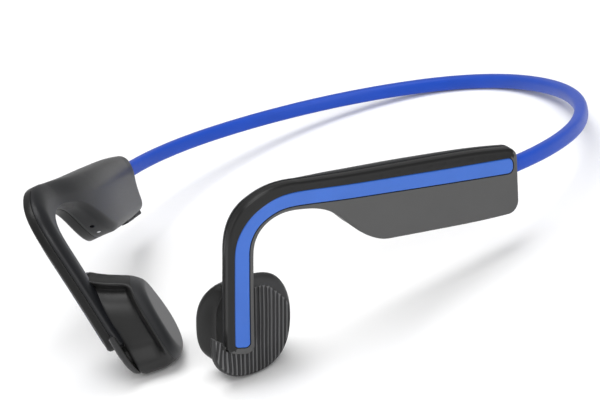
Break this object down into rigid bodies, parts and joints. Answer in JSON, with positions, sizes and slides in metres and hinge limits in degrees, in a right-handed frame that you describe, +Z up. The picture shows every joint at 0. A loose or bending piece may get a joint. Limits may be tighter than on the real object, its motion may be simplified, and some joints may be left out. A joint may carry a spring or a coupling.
{
  "type": "bone conduction headphones",
  "caption": "Wraparound behind-the-head headset: springy blue band, slim ear hooks with inlaid stripe, and oval ribbed transducers that rest on the cheekbones.",
  "frame": {"origin": "centre of the bounding box at table level; the part lies on both transducers and the rear of the band", "axes": "+Z up, the wearer faces -Y, +X is the wearer's left; the YZ plane is the mirror plane of the two arms"},
  "size_m": [0.1226, 0.1469, 0.0467],
  "materials": {
    "shell_plastic": "satin dark grey moulded plastic",
    "ribbed_plastic": "matte dark grey ribbed plastic",
    "cheek_silicone": "soft matt silicone",
    "band_silicone": "soft matt blue silicone",
    "spring_wire": "drawn titanium wire",
    "blue_trim": "satin blue inlay",
    "gasket": "thin soft gasket",
    "copper": "enamelled copper",
    "magnet_steel": "nickel plated",
    "post_plastic": "moulded",
    "board": "solder mask",
    "cell_foil": "laminated foil",
    "component_black": "moulded package",
    "light_plastic": "translucent light pipe"
  },
  "bodies": {
    "rear_band": {"rear_band_sleeve": "band_silicone", "rear_band_wire": "spring_wire"},
    "left_arm": {"left_band_sleeve": "band_silicone", "left_band_wire": "spring_wire", "left_cheek_pad": "cheek_silicone", "left_drive_post": "post_plastic", "left_hook_spring": "spring_wire", "left_inner_shell": "shell_plastic", "left_magnet": "magnet_steel", "left_outer_shell": "shell_plastic", "left_shell_seal": "gasket", "left_signal_wires": "copper", "left_suspension_plate": "magnet_steel", "left_transducer_housing": "shell_plastic", "left_trim_stripe": "blue_trim", "left_voice_coil": "copper", "left_yoke": "magnet_steel", "battery_cell": "cell_foil", "battery_board": "board", "multifunction_switch": "component_black"},
    "right_arm": {"right_band_sleeve": "band_silicone", "right_band_wire": "spring_wire", "right_cheek_pad": "cheek_silicone", "right_drive_post": "post_plastic", "right_hook_spring": "spring_wire", "right_inner_shell": "shell_plastic", "right_magnet": "magnet_steel", "right_outer_shell": "shell_plastic", "right_ribbed_cover": "ribbed_plastic", "right_shell_seal": "gasket", "right_signal_wires": "copper", "right_suspension_plate": "magnet_steel", "right_transducer_housing": "shell_plastic", "right_trim_stripe": "blue_trim", "right_voice_coil": "copper", "right_yoke": "magnet_steel", "main_circuit_board": "board", "wireless_module": "component_black", "volume_switches": "component_black", "usb_receptacle": "magnet_steel", "microphone": "component_black", "status_light_pipe": "light_plastic"},
    "multifunction_button": {"multifunction_button": "ribbed_plastic"},
    "volume_up_button": {"volume_up_button": "ribbed_plastic"},
    "volume_down_button": {"volume_down_button": "ribbed_plastic"},
    "usb_port_cover": {"usb_port_cover": "cheek_silicone"}
  },
  "joints": [
    {"name": "left_arm_flex", "type": "hinge", "parent": "rear_band", "child": "left_arm", "pos_m": [0.02841, 0.06273, 0.00374], "axis": [0, 0.2136, 0.9769], "range_deg": [-1.5, 20], "stiffness_Nm_per_rad": 0.4},
    {"name": "right_arm_flex", "type": "hinge", "parent": "rear_band", "child": "right_arm", "pos_m": [-0.02841, 0.06273, 0.00374], "axis": [0, -0.2136, -0.9769], "range_deg": [-1.5, 20], "stiffness_Nm_per_rad": 0.4},
    {"name": "multifunction_press", "type": "slide", "parent": "left_arm", "child": "multifunction_button", "axis": [-0.7726, 0.5989, 0.2106], "range_m": [0, 0.0004], "stiffness_N_per_m": 250},
    {"name": "volume_up_press", "type": "slide", "parent": "right_arm", "child": "volume_up_button", "axis": [-0.3037, 0.1732, 0.9369], "range_m": [0, 0.0004], "stiffness_N_per_m": 200},
    {"name": "volume_down_press", "type": "slide", "parent": "right_arm", "child": "volume_down_button", "axis": [-0.3037, 0.1732, 0.9369], "range_m": [0, 0.0004], "stiffness_N_per_m": 200},
    {"name": "usb_cover_swing", "type": "hinge", "parent": "right_arm", "child": "usb_port_cover", "pos_m": [-0.04149, -0.03296, 0.01907], "axis": [-0.8742, -0.4417, -0.2017], "range_deg": [0, 105]}
  ]
}
